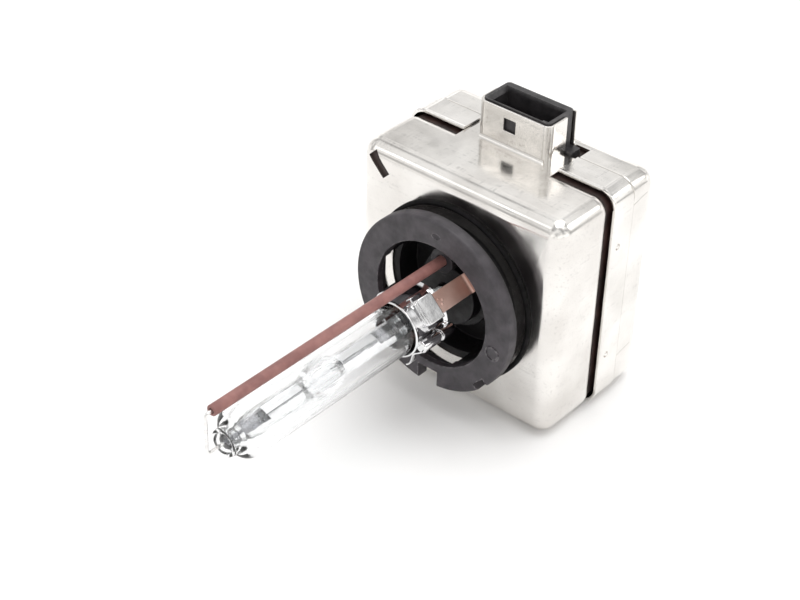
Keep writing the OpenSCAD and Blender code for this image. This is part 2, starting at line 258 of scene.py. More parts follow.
def build_relief(name, stretch=None):
    """A normal that waves gently: Depth is the height of the waves in metres."""
    tree, given, out = start_group(name, (("Scale", 200), ("Depth", 0.0001)),
                                   "Normal", "NodeSocketVector")
    noise = noise_in(tree, given.outputs["Scale"], 3, stretch)
    bump = add(tree, "Bump")
    wire(noise, bump.inputs["Height"])
    wire(given.outputs["Depth"], bump.inputs["Distance"])
    wire(bump.outputs[0], out.inputs[0])
    return tree


def build_wear():
    """A mask that is 1 on the edges, broken up by noise."""
    tree, given, out = start_group("edge wear", (("Scale", 900), ("Amount", 1)),
                                   "Mask", "NodeSocketFloat")
    rounded = add(tree, "Bevel", Radius=0.35 * MM)
    rounded.samples = 4
    surface = add(tree, "NewGeometry")
    same = add(tree, "VectorMath", "DOT_PRODUCT")
    wire(rounded.outputs[0], same.inputs[0])
    wire(surface.outputs["Normal"], same.inputs[1])
    edge = spread(tree, same.outputs["Value"], 0.97, 0.8, 0, given.outputs["Amount"])
    noise = noise_in(tree, given.outputs["Scale"], 3)
    patch = spread(tree, noise, 0.42, 0.6, 0, 1)
    both = add(tree, "Math", "MULTIPLY")
    wire(edge, both.inputs[0])
    wire(patch, both.inputs[1])
    wire(both.outputs[0], out.inputs[0])
    return tree


def build_scratches():
    """A mask of fine hairlines that run along Y and across it."""
    tree, given, out = start_group("scratches", (("Scale", 300), ("Amount", 1)),
                                   "Mask", "NodeSocketFloat")
    long_way = noise_in(tree, given.outputs["Scale"], 2, (9, 0.6, 9))
    cross_way = noise_in(tree, given.outputs["Scale"], 2, (0.7, 8, 5))
    product = add(tree, "Math", "MULTIPLY")
    wire(long_way, product.inputs[0])
    wire(cross_way, product.inputs[1])
    line = spread(tree, product.outputs[0], 0.33, 0.42, 0, given.outputs["Amount"])
    wire(line, out.inputs[0])
    return tree


mottle_group = build_mottle()
relief_group = build_relief("relief")
drawn_group = build_relief("drawn relief", (6, 0.22, 6))
wear_group = build_wear()
scratch_group = build_scratches()
print("effects:", [g.name for g in bpy.data.node_groups])

# %% [markdown]
# ## A finish from its few facts
# Most pieces here are a moulding, a metal or a resin, and differ in two shades, a range of
# roughness, how metallic they are, how wavy they are and how worn their edges look. One function
# turns those facts into a material. Numbers that don't vary are set on the shader's own sockets.


# %% The finish function
def place_group(tree, group, **values):
    """Puts a node group in a material with its own values."""
    holder = add(tree, "Group")
    holder.node_tree = group
    for label, value in values.items():
        holder.inputs[label].default_value = value
    return holder.outputs[0]


def blend_colours(tree, factor, first, second):
    """Mixes two colours, each a tuple or a socket."""
    mix = add(tree, "Mix")
    mix.data_type = "RGBA"
    wire(factor, mix.inputs["Factor"])
    for socket, colour in ((mix.inputs[6], first), (mix.inputs[7], second)):
        if isinstance(colour, bpy.types.NodeSocket):
            wire(colour, socket)
        else:
            socket.default_value = (*colour, 1)
    return mix.outputs[2]


def finish(name, dark, light, rough, metal=0.0, mottle=180, relief=400, depth=0.02,
           worn=None, worn_amount=0.6, scratched=0.0, drawn=False):
    """A material from two shades, a roughness range and its relief; depth is in millimetres."""
    material, tree, shader = new_material(name)
    shader.inputs["Metallic"].default_value = metal
    shade = place_group(tree, mottle_group, Scale=mottle, Low=0, High=1)
    colour = blend_colours(tree, shade, dark, light)
    if worn is not None:
        mask = place_group(tree, wear_group, Scale=mottle * 4, Amount=worn_amount)
        colour = blend_colours(tree, mask, colour, worn)
    if scratched:
        lines = place_group(tree, scratch_group, Scale=320, Amount=scratched)
        colour = blend_colours(tree, lines, colour, tuple(0.55 * c for c in dark))
    wire(colour, shader.inputs["Base Color"])
    gloss = place_group(tree, mottle_group, Scale=mottle * 1.7, Low=rough[0], High=rough[1])
    wire(gloss, shader.inputs["Roughness"])
    waves = drawn_group if drawn else relief_group
    normal = place_group(tree, waves, Scale=relief, Depth=depth * MM)
    wire(normal, shader.inputs["Normal"])
    return material


def opened(material):
    """The node tree, the shader and the object coordinates of a finish that gets one thing more."""
    tree = material.node_tree
    return tree, tree.nodes["Principled BSDF"], add(tree, "TexCoord").outputs["Object"]


# %% [markdown]
# ## Sheet metal, mouldings and seals
# The can is bright tinned sheet: a warm, nearly white mirror with a slow wave from drawing and a few
# hairlines. The base is a glass-filled moulding, so it is matt, faintly speckled and pale where its
# edges are scuffed. The tub and the socket are the same family of plastic with a little more gloss.

# %% Outer finishes
shield_metal = finish("bright tinned sheet", (0.74, 0.715, 0.685), (0.88, 0.86, 0.83), (0.12, 0.24),
                      metal=1, mottle=95, relief=70, depth=0.14, scratched=0.3)
cover_metal = finish("tinned cover sheet", (0.76, 0.74, 0.71), (0.90, 0.88, 0.855), (0.12, 0.24),
                     metal=1, mottle=110, relief=85, depth=0.15, scratched=0.3)


def scuffed_moulding_with_painted_cup_shade():
    """The base's moulding: grey with handling on its face, with painted shade that fades it to near
    black inside the cup.
    """
    material = finish("glass-filled black moulding", (0.034, 0.030, 0.035), (0.060, 0.053, 0.060),
                      (0.45, 0.62), mottle=420, relief=2600, depth=0.03,
                      worn=(0.36, 0.34, 0.35), worn_amount=0.8)
    tree, shader, spot = opened(material)
    # Painted shade: from 0.6 mm to 2.2 mm back in Y the colour fades to near black (0.005), so the
    # cup and the neck look unlit.
    split = add(tree, "SeparateXYZ")
    wire(spot, split.inputs[0])
    inside = spread(tree, split.outputs["Y"], 0.6 * MM, 2.2 * MM, 0, 1)
    face = shader.inputs["Base Color"].links[0].from_socket
    wire(blend_colours(tree, inside, face, (0.005, 0.004, 0.005)), shader.inputs["Base Color"])
    return material


black_plastic = scuffed_moulding_with_painted_cup_shade()
# Black rubber, set darker still, near 0.003: painted shade of the deep groove between the flange and
# the shield.
seal_rubber = finish("seal rubber with painted groove shade", (0.003, 0.003, 0.003), (0.008, 0.007, 0.008), (0.7, 0.85),
                     mottle=600, relief=1500, depth=0.015)
seal_rubber.node_tree.nodes["Principled BSDF"].inputs["Specular IOR Level"].default_value = 0.15
tub_plastic = finish("black tub moulding", (0.014, 0.007, 0.006), (0.042, 0.021, 0.017),
                     (0.35, 0.55), mottle=300, relief=1800, depth=0.02)
socket_plastic = finish("socket moulding", (0.016, 0.015, 0.016), (0.040, 0.037, 0.039),
                        (0.33, 0.5), mottle=500, relief=2200, depth=0.02,
                        worn=(0.13, 0.12, 0.12), worn_amount=0.6)
contact_metal = finish("gold-washed contact", (0.62, 0.45, 0.20), (0.83, 0.66, 0.34), (0.18, 0.32),
                       metal=1, mottle=900, relief=1500, depth=0.01)
print("outer finishes made")

# %% [markdown]
# ## Burner finishes
# The sleeve is an unglazed iron-bearing ceramic, brownish pink and blotchy. The clip is polished
# spring steel. The lugs are copper-plated strip that heat has tinted, so the colour drifts from pink
# to brown. The foils and leads are molybdenum, grey with a drawn grain.

# %% Burner finishes
sleeve_ceramic = finish("brown ceramic", (0.235, 0.103, 0.093), (0.325, 0.152, 0.135), (0.42, 0.6),
                        mottle=420, relief=1600, depth=0.035,
                        worn=(0.42, 0.27, 0.25), worn_amount=0.35)
clip_metal = finish("polished spring steel", (0.62, 0.62, 0.625), (0.86, 0.86, 0.865), (0.04, 0.12),
                    metal=1, mottle=260, relief=500, depth=0.03)
lug_metal = finish("heat-tinted copper strip", (0.56, 0.33, 0.27), (0.74, 0.51, 0.44),
                   (0.3, 0.42), metal=0.45, mottle=160, relief=900, depth=0.02,
                   worn=(0.75, 0.58, 0.52), worn_amount=0.5)
wire_metal = finish("nickel wire", (0.78, 0.77, 0.76), (0.93, 0.92, 0.91), (0.18, 0.3),
                    metal=1, mottle=700, relief=2500, depth=0.01)
tungsten = finish("tungsten", (0.20, 0.20, 0.21), (0.36, 0.36, 0.37), (0.3, 0.45),
                  metal=1, mottle=1500, relief=4000, depth=0.005)
molybdenum = finish("molybdenum foil", (0.30, 0.30, 0.32), (0.48, 0.48, 0.50), (0.22, 0.38),
                    metal=1, mottle=800, relief=3000, depth=0.01)
terminal_metal = finish("tinned terminal", (0.50, 0.50, 0.48), (0.70, 0.70, 0.67), (0.2, 0.35),
                        metal=1, mottle=500, relief=1500, depth=0.01)
print("burner finishes made")

# %% [markdown]
# ## Glass
# Fused quartz bends light but hardly tints it. Its shader keeps a plain full transmission, with only
# its roughness varied by faint smudges, and a relief that is stretched along the tube, as drawing
# leaves it. Rays from the lamps would be stopped by glass, so for those rays the material is
# transparent, and the glass casts the pale shadow that real glass casts. The same holds for rays that
# have already passed many walls, which would otherwise end black.


# %% Glass
walls_passed = 7


def quartz_glass(name, tint, smudge, depth):
    """Clear quartz; smudge is its highest roughness."""
    material = finish(name, tint, tint, (0, smudge), mottle=160, relief=260, depth=depth, drawn=True)
    tree = material.node_tree
    shader = tree.nodes["Principled BSDF"]
    shader.inputs["Transmission Weight"].default_value = 1
    shader.inputs["IOR"].default_value = 1.459
    clear = add(tree, "BsdfTransparent", Color=(0.93, 0.94, 0.94, 1))
    path = add(tree, "LightPath")
    deep = add(tree, "Math", "GREATER_THAN")
    deep.inputs[1].default_value = walls_passed
    wire(path.outputs["Ray Depth"], deep.inputs[0])
    either = add(tree, "Math", "MAXIMUM")
    wire(path.outputs["Is Shadow Ray"], either.inputs[0])
    wire(deep.outputs[0], either.inputs[1])
    choose = add(tree, "MixShader")
    wire(either.outputs[0], choose.inputs[0])
    wire(shader.outputs[0], choose.inputs[1])
    wire(clear.outputs[0], choose.inputs[2])
    wire(choose.outputs[0], tree.nodes["Material Output"].inputs["Surface"])
    return material


outer_glass = quartz_glass("clear outer quartz", (0.99, 0.995, 1), 0.03, 0.045)
quartz = quartz_glass("arc tube quartz", (0.98, 0.985, 0.99), 0.04, 0.15)
print("glass made")

# %% [markdown]
# ## Finishes inside the igniter
# The igniter's parts are closed in, but they are finished too: an enamelled winding shows its turns,
# a board shows its copper tracks under green resist, and the rest are ferrite, ceramic and resin. The
# turns and the tracks are patterns that a plain mottle can't give, so each adds one texture.


# %% Inner finishes
bands_per_scale = 3.18


def wound_copper(name, dark, light, turns_per_metre):
    """Enamelled wire wound along X: one ridge per turn."""
    material = finish(name, dark, light, (0.22, 0.36), metal=0.85, mottle=300)
    tree, shader, spot = opened(material)
    turns = add(tree, "TexWave", Scale=turns_per_metre / bands_per_scale)
    bump = add(tree, "Bump", Distance=0.1 * MM)
    wire(spot, turns.inputs["Vector"])
    wire(turns.outputs["Fac"], bump.inputs["Height"])
    wire(bump.outputs[0], shader.inputs["Normal"])
    return material


def board_laminate():
    """Green resist with the pale outline of the tracks beneath it."""
    material = finish("green board", (0.012, 0.075, 0.035), (0.02, 0.11, 0.05), (0.25, 0.4),
                      mottle=350, relief=1200, depth=0.01)
    tree, shader, spot = opened(material)
    tracks = add(tree, "TexVoronoi", Scale=160)
    tracks.feature = "DISTANCE_TO_EDGE"
    wire(spot, tracks.inputs["Vector"])
    gap = spread(tree, tracks.outputs[0], 0.04, 0.06, 0, 1)
    under = shader.inputs["Base Color"].links[0].from_socket
    wire(blend_colours(tree, gap, (0.01, 0.045, 0.022), under), shader.inputs["Base Color"])
    return material


copper = wound_copper("enamelled copper", (0.42, 0.14, 0.05), (0.62, 0.26, 0.10), 2500)
board_resin = board_laminate()
ferrite = finish("ferrite", (0.025, 0.025, 0.028), (0.05, 0.05, 0.055), (0.4, 0.6), mottle=500)
bobbin_plastic = finish("bobbin moulding", (0.46, 0.42, 0.30), (0.58, 0.54, 0.42), (0.35, 0.5))
white_ceramic = finish("white ceramic", (0.72, 0.70, 0.65), (0.84, 0.83, 0.79), (0.3, 0.45))
capacitor_resin = finish("capacitor resin", (0.42, 0.30, 0.04), (0.56, 0.42, 0.08), (0.3, 0.45))
resistor_lacquer = finish("resistor lacquer", (0.08, 0.17, 0.25), (0.13, 0.25, 0.34), (0.3, 0.4))
print("inner finishes made")

# %% [markdown]
# ## Frame nodes that keep their own shape
# A node whose plain shape is right keeps its mesh and only takes a finish. These are the parts that
# the casing and the glass hide or nearly hide.

# %% Finishes on the kept nodes
kept_nodes = {
    "igniter_housing": tub_plastic, "housing_lid": tub_plastic,
    "front_electrode": tungsten, "rear_electrode": tungsten,
    "front_lead": molybdenum, "rear_lead": molybdenum,
    "hv_terminal": terminal_metal, "return_terminal": terminal_metal,
    "circuit_board": board_resin, "transformer_core": ferrite, "choke_core": ferrite,
    "transformer_bobbin": bobbin_plastic, "primary_winding": copper, "secondary_winding": copper,
    "choke_winding": copper, "spark_gap_tube": white_ceramic, "spark_gap_caps": terminal_metal,
    "pulse_capacitor": capacitor_resin, "bleed_resistor": resistor_lacquer,
}
for node_name, material in kept_nodes.items():
    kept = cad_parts[node_name]
    kept.data.materials.clear()
    kept.data.materials.append(material)
print(len(kept_nodes), "frame nodes keep their shape")

# %% [markdown]
# ## Making pieces
# Pieces are drawn in millimetres and scaled to metres once, when the mesh is done. Three ways of
# making a shape cover nearly the whole lamp: turning an outline about an axis, lofting rounded
# squares along Y, and folding a strip. Cuts are made with exact booleans, since punched holes are
# what the press tool makes.


# %% From bmesh to piece
def finished(name, bm):
    """Closes the seams of a drawn shape, scales it to metres and makes an object of it."""
    bmesh.ops.remove_doubles(bm, verts=bm.verts, dist=0.0005)
    bmesh.ops.recalc_face_normals(bm, faces=bm.faces)
    bmesh.ops.scale(bm, vec=(MM, MM, MM), verts=bm.verts)
    mesh = bpy.data.meshes.new(name)
    bm.to_mesh(mesh)
    bm.free()
    mesh.shade_smooth()
    return linked(name, mesh)


def combine(piece, tool_bm, operation="DIFFERENCE"):
    """Cuts a tool out of a piece, or joins it on, and removes the tool."""
    tool = finished("tool", tool_bm)
    cut = piece.modifiers.new("cut", "BOOLEAN")
    cut.operation = operation
    cut.solver = "EXACT"
    cut.object = tool
    bpy.context.view_layer.update()
    result = piece.evaluated_get(bpy.context.evaluated_depsgraph_get())
    old, piece.data = piece.data, bpy.data.meshes.new_from_object(result)
    piece.modifiers.clear()
    bpy.data.meshes.remove(old)
    bpy.data.objects.remove(tool)
    piece.data.name = piece.name
    piece.data.shade_smooth()


def eased(outline, radius):
    """Rounds every corner of a closed outline with two short chamfers."""
    result = []
    following = outline[1:] + outline[:1]
    for i, trio in enumerate(zip(outline, following)):
        before, here, after = (Vector(point) for point in (outline[i - 1], *trio))
        reach = min(radius, 0.4 * (before - here).length, 0.4 * (after - here).length)
        start = here + (before - here).normalized() * reach
        end = here + (after - here).normalized() * reach
        middle = here * 0.42 + (start + end) * 0.29
        result += [tuple(start), tuple(middle), tuple(end)]
    return result


def soften(piece, width, segments=2, angle=35):
    """Rounds the sharp edges and lets the large faces stay flat in the shading."""
    bevel = piece.modifiers.new("rounded edges", "BEVEL")
    bevel.width = width * MM
    bevel.segments = segments
    bevel.limit_method = "ANGLE"
    bevel.angle_limit = math.radians(angle)
    shading = piece.modifiers.new("flat faces", "WEIGHTED_NORMAL")
    shading.keep_sharp = False


def dress(piece, material, slot, *nodes):
    """Gives a piece its finish and its place in the frame."""
    piece.data.materials.clear()
    piece.data.materials.append(material)
    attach(piece, "root")
    if nodes:
        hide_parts(*nodes)
    print(piece.name, len(piece.data.polygons), "faces")


# %% Shapes
def arc(x, y, radius, start, end, steps, radius_y=None):
    """Points on an arc, angles in degrees. A second radius makes it part of an ellipse."""
    angles = [math.radians(start + (end - start) * i / steps) for i in range(steps + 1)]
    return [(x + radius * math.cos(a), y + (radius_y or radius) * math.sin(a)) for a in angles]


def turn(bm, outline, x=0.0, z=0.0, steps=96, closed=True):
    """Turns an outline of (radius, y) points about an axis along Y."""
    points = [bm.verts.new((x + radius, y, z)) for radius, y in outline]
    pairs = list(zip(points, points[1:]))
    if closed:
        pairs.append((points[-1], points[0]))
    lines = [bm.edges.new(pair) for pair in pairs]
    bmesh.ops.spin(bm, geom=points + lines, cent=(x, 0, z), axis=(0, 1, 0),
                   angle=2 * math.pi, steps=steps, use_merge=True)


def block(bm, low, high, matrix=None):
    """A box between two corners, turned by a matrix if one is given."""
    made = bmesh.ops.create_cube(bm, size=1)["verts"]
    size = [b - a for a, b in zip(low, high)]
    middle = [(a + b) / 2 for a, b in zip(low, high)]
    bmesh.ops.scale(bm, vec=size, verts=made)
    bmesh.ops.translate(bm, vec=middle, verts=made)
    if matrix is not None:
        bmesh.ops.transform(bm, matrix=matrix, verts=made)
    return made


def block_tool(low, high, matrix=None):
    """A box on its own, for a cut or a join."""
    bm = bmesh.new()
    block(bm, low, high, matrix)
    return bm


def turn_tool(outline, **settings):
    """A turned shape on its own."""
    bm = bmesh.new()
    turn(bm, outline, **settings)
    return bm


def loft(bm, rings, centre_z, steps=64):
    """Joins rounded squares (half width, corner radius, y) into a closed wall.
    Corner is joined to corner, which bridge_loops doesn't promise between a circle and a square."""
    turned = Matrix.Rotation(math.pi / steps, 4, "Z")
    loops = []
    for half, radius, y in rings:
        ring = bmesh.ops.create_circle(bm, segments=steps, radius=radius, matrix=turned)["verts"]
        for vert in ring:
            x, z = vert.co.x, vert.co.y
            out_x = math.copysign(half - radius, x)
            out_z = math.copysign(half - radius, z)
            vert.co = (x + out_x, y, z + out_z + centre_z)
        loops.append(ring)
    for first, second in zip(loops, loops[1:] + loops[:1]):
        for i in range(steps):
            bm.faces.new((first[i - 1], first[i], second[i], second[i - 1]))


def extruded(bm, outline, shift):
    """A prism: a flat outline of points, drawn out along a shift."""
    face = bm.faces.new([bm.verts.new(point) for point in outline])
    wall = bmesh.ops.extrude_face_region(bm, geom=[face])["geom"]
    moved = [g for g in wall if isinstance(g, bmesh.types.BMVert)]
    bmesh.ops.translate(bm, vec=shift, verts=moved)
    return list(face.verts) + moved


def fold(bm, line, thickness, along, start, end):
    """A strip bent along a line in a plane, and as wide as start to end on the other axis."""
    place = {"x": lambda a, b, w: (w, a, b), "y": lambda a, b, w: (a, w, b)}[along]
    path = [Vector(p) for p in line]
    sides = ([], [])
    for i, point in enumerate(path):
        before = (path[i] - path[i - 1]).normalized() if i else (path[1] - path[0]).normalized()
        after = (path[i + 1] - path[i]).normalized() if i + 1 < len(path) else before
        direction = (before + after).normalized()
        normal = Vector((-direction.y, direction.x))
        reach = thickness / 2 / max(0.5, normal.dot(Vector((-before.y, before.x))))
        sides[0].append(point + normal * reach)
        sides[1].append(point - normal * reach)
    outline = sides[0] + sides[1][::-1]
    return extruded(bm, [place(p.x, p.y, start) for p in outline], Vector(place(0, 0, end - start)))


print("shape tools ready")

# %% [markdown]
# ## Front shield
# The front half of the can is one piece of drawn sheet: a square tray with rounded edges, a round
# hole for the base's neck and a punched slot in one corner. It is lofted as a closed wall, outside
# and inside, so the sheet has its true thickness. Its rear edge rolls in, and a plate of the same
# sheet runs back under the plug socket.

# %% Front shield
tray_low, tray_high = corners("front_shield")
cover_low, cover_high = corners("rear_cover")
tub_low, tub_high = corners("igniter_housing")
base_low, base_high = corners("base_body")
half_box = tray_high.x
box_z = (tray_low.z + tub_high.z + (tub_low.z - tray_low.z)) / 2
front_y = tray_low.y
top_z = box_z + half_box
tray_back_y = front_y + 12.9
plate_half = 9.9
plate_back_y = 24.0
edge_r = 3.0
sheet = 0.5
neck_hole_r = 13.4
tiny = 0.02


def quarter(half, radius, y, rising):
    """Rings that round the front edge, from the flat face to the side, or back."""
    angles = [15 * i for i in range(1, 7)]
    rings = []
    for angle in angles if rising else reversed(angles):
        turn_r = radius * math.sin(math.radians(angle))
        depth = radius * (1 - math.cos(math.radians(angle)))
        rings.append((half - radius + turn_r, turn_r, y + depth))
    return rings


def make_tray():
    """The drawn tray with its neck hole and corner slot."""
    flat = half_box - edge_r
    inner = half_box - sheet
    inner_r = edge_r - sheet
    rings = [(neck_hole_r, neck_hole_r, front_y), (flat, tiny, front_y)]
    rings += quarter(half_box, edge_r, front_y, True)
    roll = [(0.0, 2.0), (0.03, 1.55), (0.11, 1.1), (0.26, 0.65), (0.5, 0.25), (0.7, 0.05)]
    rings += [(half_box - turned, edge_r - turned, tray_back_y - before_end)
              for turned, before_end in roll]
    rings += [(inner - 0.5, inner_r - 0.5, tray_back_y), (inner, inner_r, tray_back_y - 2.0)]
    rings += quarter(inner, inner_r, front_y + sheet, False)
    rings += [(flat, tiny, front_y + sheet), (neck_hole_r, neck_hole_r, front_y + sheet)]
    bm = bmesh.new()
    loft(bm, rings, box_z)
    tray = finished("shield_tray", bm)
    combine(tray, block_tool((-plate_half, tray_back_y - 3.2, top_z - sheet),
                             (plate_half, plate_back_y, top_z)), "UNION")
    slot_half_len, slot_half_wide = 2.35, 0.95
    slot_x, slot_z, slot_angle = -16.9, 17.8, math.radians(45)
    slot_place = Matrix.Translation((slot_x, 0, slot_z)) @ Matrix.Rotation(slot_angle, 4, "Y")
    combine(tray, block_tool((-slot_half_len, front_y - 1, -slot_half_wide),
                             (slot_half_len, front_y + 2, slot_half_wide), slot_place))
    soften(tray, 0.09)
    return tray


tray = make_tray()
dress(tray, shield_metal, "shield_metal", "front_shield")

# %% [markdown]
# ## The socket's tongue
# A tongue of the same sheet bends up from the tray's plate and wraps the front of the plug socket,
# with a wing along each side and a square window that the plug's latch clicks into. The strip is
# folded from its plan, and a small concave fillet is the bend at its foot.

# %% Tongue
socket_low, socket_high = corners("socket_housing")
pins_low, pins_high = corners("socket_pins")
rim_z = socket_high.z
tongue_y = 19.0
tongue_half = 7.5


def make_tongue():
    """The wrapped sheet in front of the socket."""
    mid_y = tongue_y + sheet / 2
    wing_y = tongue_y + 5
    corner = 1.3
    middle_half = tongue_half - sheet / 2
    bm = bmesh.new()
    left = arc(-middle_half + corner, mid_y + corner, corner, 180, 270, 8)
    right_corner = arc(middle_half - corner, mid_y + corner, corner, 270, 360, 8)
    plan = [(-middle_half, wing_y)] + left + right_corner + [(middle_half, wing_y)]
    made = fold(bm, plan, sheet, "y", top_z - 0.3, rim_z - 0.3)
    for vert in made:  # The plan lies flat, so height and depth change places.
        x, height, y = vert.co
        vert.co = (x, y, height)
    tongue = finished("socket_tongue", bm)
    latch_left, latch_right = -1.95, 0.55
    latch_foot_z, latch_head_z = top_z + 3.0, top_z + 5.4
    combine(tongue, block_tool((latch_left, tongue_y - 2, latch_foot_z),
                               (latch_right, tongue_y + 2, latch_head_z)))
    soften(tongue, 0.1)
    return tongue


def make_bend():
    """The concave bend between the plate and the tongue."""
    radius = 0.7
    bm = bmesh.new()
    hollow = arc(tongue_y - radius, top_z + radius, radius, 0, -90, 8)
    outline = hollow + [(tongue_y - radius, top_z - 0.2), (tongue_y + 0.2, top_z - 0.2),
                        (tongue_y + 0.2, top_z + radius)]
    half = tongue_half - 0.8
    extruded(bm, [(-half, y, z) for y, z in outline], (2 * half, 0, 0))
    bend = finished("tongue_bend", bm)
    bend.data.set_sharp_from_angle(angle=math.radians(30))
    return bend


tongue = make_tongue()
dress(tongue, shield_metal, "shield_metal")
dress(make_bend(), shield_metal, "shield_metal")

# %% [markdown]
# ## Rear cover
# The cover closes the can from behind. Its skirt stands proud of the cap, with a rolled lip at the
# seam, punched dimples that hold the tub, and a notch at the top for the socket. It is lofted like
# the tray, and the small marks of the press are cut afterwards.

# %% Rear cover
skirt_y = cover_low.y
cap_y = skirt_y + 6.1
back_y = cover_high.y
skirt_half = cover_high.x
cap_half = half_box + 0.15
notch_back_y = 27.7
dimple_y = skirt_y + 2.4
dimple_heights = (-11.3, 10.9)
dimple_r = 0.6
crease_heights = (-13.5, 17.5)
crease_angle = math.radians(12)


def make_cover():
    """The skirt, the cap and the punched marks."""
    inner = cap_half - sheet
    lip_y = skirt_y + 0.45
    rings = [(skirt_half - 0.14, edge_r + 0.3, lip_y),
             (skirt_half + 0.04, edge_r + 0.45, lip_y + 0.18),
             (skirt_half + 0.04, edge_r + 0.45, lip_y + 0.4),
             (skirt_half - 0.06, edge_r + 0.4, lip_y + 0.7),
             (skirt_half - 0.06, edge_r + 0.4, cap_y - 0.25),
             (skirt_half - 0.2, edge_r + 0.3, cap_y - 0.08),
             (cap_half - 0.45, edge_r - 0.3, cap_y),
             (cap_half - 0.45, edge_r - 0.3, cap_y + 0.26),
             (cap_half - 0.04, edge_r, cap_y + 0.34),
             (cap_half, edge_r, cap_y + 0.6)]
    rings += [(w, r, back_y - y) for w, r, y in quarter(cap_half, edge_r, 0, False)]
    flat = cap_half - edge_r
    rings += [(flat, tiny, back_y), (0, 0, back_y), (0, 0, back_y - sheet),
              (flat, tiny, back_y - sheet)]
    hollow = quarter(inner, edge_r - sheet, 0, True)
    rings += [(w, r, back_y - sheet - y) for w, r, y in hollow]
    rings += [(inner, edge_r - sheet, cap_y), (skirt_half - sheet, edge_r, cap_y - 0.5),
              (skirt_half - sheet, edge_r, lip_y)]
    bm = bmesh.new()
    loft(bm, rings, box_z)
    cover = finished("rear_cover_shell", bm)
    combine(cover, block_tool((-plate_half - 0.1, skirt_y - 1, top_z - 2),
                              (plate_half + 0.1, notch_back_y, top_z + 2)))
    marks = bmesh.new()
    for side in (-1, 1):
        for z in dimple_heights:
            punch = Matrix.Translation((side * skirt_half, dimple_y, z))
            punch = punch @ Matrix.Rotation(side * math.pi / 2, 4, "Y")
            bmesh.ops.create_cone(marks, cap_ends=True, segments=32, radius1=dimple_r,
                                  radius2=dimple_r, depth=0.8, matrix=punch)
        for z in crease_heights:
            tilt = Matrix.Translation((side * cap_half, cap_y + 2.2, z))
            tilt = tilt @ Matrix.Rotation(crease_angle, 4, "X")
            block(marks, (-0.12, -2.0, -0.06), (0.12, 2.0, 0.06), tilt)
    combine(cover, marks)
    centres = bmesh.new()
    for side in (-1, 1):
        for z in dimple_heights:
            middle = Matrix.Translation((side * (skirt_half - 0.3), dimple_y, z))
            bmesh.ops.create_icosphere(centres, subdivisions=3, radius=0.38, matrix=middle)
    combine(cover, centres, "UNION")
    soften(cover, 0.07)
    return cover


cover = make_cover()
dress(cover, cover_metal, "cover_metal", "rear_cover")


def make_back_tongue():
    """The narrow tongue of the cover that stands behind the socket."""
    bm = bmesh.new()
    mid_y = socket_high.y + 0.3
    bend = 0.7
    rise = arc(mid_y + bend, top_z - 0.1 + bend, bend, 180, 270, 6)
    line = [(mid_y, rim_z - 0.4)] + rise + [(mid_y + 2.2, top_z - 0.1)]
    fold(bm, line, 0.4, "x", -tongue_half + 0.3, tongue_half - 0.3)
    piece = finished("cover_tongue", bm)
    soften(piece, 0.08)
    return piece


dress(make_back_tongue(), cover_metal, "cover_metal")

# %% [markdown]
# ## Plug socket
# The socket is a rectangular well of black plastic with a lighter worn lip and a key rib in one
# corner, above four flat contacts. A box is cut by a smaller box, and the mouth is bevelled.

# %% Socket
well_half = 5.75
well_front_y = 20.2
well_back_y = 24.9
well_floor_z = 22.0
wing_front_y = 24.1


def make_socket():
    """The well, its stepped lip and its side wings."""
    bm = bmesh.new()
    wall_x = tongue_half - sheet - 0.1
    block(bm, (-wall_x, tongue_y + 0.6, top_z - 0.6), (wall_x, socket_high.y, rim_z))
    uprights = [e for e in bm.edges if abs(e.verts[0].co.z - e.verts[1].co.z) > 1]
    bmesh.ops.bevel(bm, geom=uprights, offset=0.7, affect="EDGES", segments=4, profile=0.5,
                    material=-1)
    socket = finished("socket_well", bm)
    combine(socket, block_tool((socket_low.x, wing_front_y, top_z - 0.6),
                               (socket_high.x, socket_high.y - 0.02, top_z + 0.55)), "UNION")
    combine(socket, block_tool((-well_half, well_front_y, well_floor_z),
                               (well_half, well_back_y, rim_z + 1)))
    lip = bmesh.new()
    mouth = block(lip, (-well_half, well_front_y, rim_z - 0.8),
                  (well_half, well_back_y, rim_z + 0.05))
    for vert in mouth:
        if vert.co.z > rim_z:
            vert.co.x += math.copysign(0.6, vert.co.x)
            vert.co.y += 0.45 if vert.co.y > well_front_y + 1 else -0.45
    combine(socket, lip)
    combine(socket, block_tool((well_half - 1.0, well_front_y - 0.1, well_floor_z - 0.2),
                               (well_half + 0.1, well_front_y + 0.8, rim_z - 0.6)), "UNION")
    soften(socket, 0.14)
    return socket


def make_pins():
    """Four flat contacts with pointed tips."""
    bm = bmesh.new()
    half_wide = 0.4
    gap = (pins_high.x - pins_low.x - 2 * half_wide) / 3
    for i in range(4):
        x = pins_low.x + half_wide + gap * i
        pin = block(bm, (x - half_wide, pins_low.y, pins_low.z),
                    (x + half_wide, pins_high.y, pins_high.z))
        tip = [v for v in pin if v.co.z > pins_high.z - 0.1]
        bmesh.ops.scale(bm, vec=(0.5, 0.5, 1), verts=tip,
                        space=Matrix.Translation((-x, -(pins_low.y + pins_high.y) / 2, 0)))
    pins = finished("contact_pins", bm)
    soften(pins, 0.05)
    return pins


dress(make_socket(), socket_plastic, "socket_plastic", "socket_housing")
dress(make_pins(), contact_metal, "contact_metal", "socket_pins")

# %% [markdown]
# ## Base
# The base is one moulding: a flange that locates the lamp, a neck with two windows, and a deep cup
# whose tower holds the burner. The flange, neck and cup are turned from one outline, and the tower
# and the wire's boss are joined on. Then the windows, the two keying notches and a dimple are cut,
# as side cores and inserts would leave them, and a raised ring marks the face.

# %% Base
flange_r = base_high.x
face_y = base_low.y
land_back_y = 1.5
neck_r = 13.3
neck_in_r = 12.0
hole_r = 11.7
cup_back_y = base_high.y
cup_floor_y = cup_back_y - 1.3
bore_r = 2.0
tower_r = 5.8
tower_foot_r = 7.1
sleeve_z = 7.6


